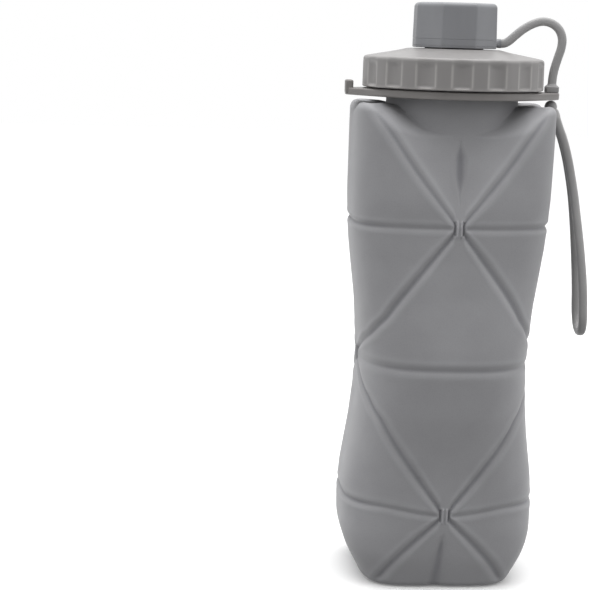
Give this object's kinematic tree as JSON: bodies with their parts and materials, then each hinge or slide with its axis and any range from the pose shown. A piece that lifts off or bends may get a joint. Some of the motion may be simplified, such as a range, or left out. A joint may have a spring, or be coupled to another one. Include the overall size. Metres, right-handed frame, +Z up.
{
  "type": "folding water bottle",
  "caption": "Silicone water bottle that folds down in pleats, with a fluted screw lid, an octagonal drinking cap on a tether and a hand loop.",
  "frame": {"origin": "middle of the flat base, on the surface that it stands on", "axes": "+Z up along the bottle's axis, the front crease stars face -Y, the hook tab points to -X and the strap tab with its hand loop to +X"},
  "size_m": [0.1005, 0.0792, 0.23],
  "materials": {
    "body_silicone": "satin moulded silicone, mid grey",
    "strap_silicone": "satin moulded silicone, cool grey",
    "seal_silicone": "translucent white silicone seal",
    "grey_plastic": "fine matt polypropylene, warm grey",
    "cap_plastic": "fine matt polypropylene, cool grey"
  },
  "bodies": {
    "bottle": {"bottle_wall": "body_silicone"},
    "neck": {"bottle_neck": "body_silicone", "neck_collar": "grey_plastic", "carry_ring": "grey_plastic", "strap_stopper": "strap_silicone", "strap_tether": "strap_silicone"},
    "lid_seal": {"lid_gasket": "seal_silicone"},
    "lid": {"lid": "grey_plastic"},
    "cap_seal": {"cap_liner": "seal_silicone"},
    "cap": {"cap": "cap_plastic"},
    "cap_ring": {"strap_ring": "strap_silicone"},
    "loop_pivot": {"strap_knot": "strap_silicone"},
    "hand_loop": {"loop_yoke": "strap_silicone", "hand_loop": "strap_silicone"}
  },
  "joints": [
    {"name": "body_fold", "type": "slide", "parent": "bottle", "child": "neck", "axis": [0, 0, -1], "range_m": [0, 0.15], "deforming": ["bottle_wall"]},
    {"name": "lid_rise", "type": "slide", "parent": "neck", "child": "lid_seal", "axis": [0, 0, 1], "range_m": [0, 0.0113], "deforming": ["strap_tether"]},
    {"name": "lid_turn", "type": "hinge", "parent": "lid_seal", "child": "lid", "pos_m": [0, 0, 0.2], "axis": [0, 0, 1], "range_deg": [0, 450]},
    {"name": "cap_rise", "type": "slide", "parent": "lid", "child": "cap_seal", "axis": [0, 0, 1], "range_m": [0, 0.0126]},
    {"name": "cap_turn", "type": "hinge", "parent": "cap_seal", "child": "cap", "pos_m": [0, 0, 0.22], "axis": [0, 0, 1], "range_deg": [0, 450]},
    {"name": "ring_rise", "type": "slide", "parent": "lid_seal", "child": "cap_ring", "axis": [0, 0, 1], "range_m": [0, 0.0126]},
    {"name": "loop_swing", "type": "hinge", "parent": "neck", "child": "loop_pivot", "pos_m": [0.0397, 0, 0.1902], "axis": [0, -1, 0], "range_deg": [0, 56]},
    {"name": "loop_sway", "type": "hinge", "parent": "loop_pivot", "child": "hand_loop", "pos_m": [0.0397, 0, 0.1902], "axis": [1, 0, 0], "range_deg": [-40, 40]}
  ],
  "couplings": [
    {"joint": "lid_rise", "follows": "lid_turn", "m_per_rad": 0.0014324},
    {"joint": "cap_rise", "follows": "cap_turn", "m_per_rad": 0.0015915},
    {"joint": "ring_rise", "follows": "cap_turn", "m_per_rad": 0.0015915},
    {"joint": "loop_swing", "follows": "body_fold", "rad_per_m": 6.51}
  ]
}
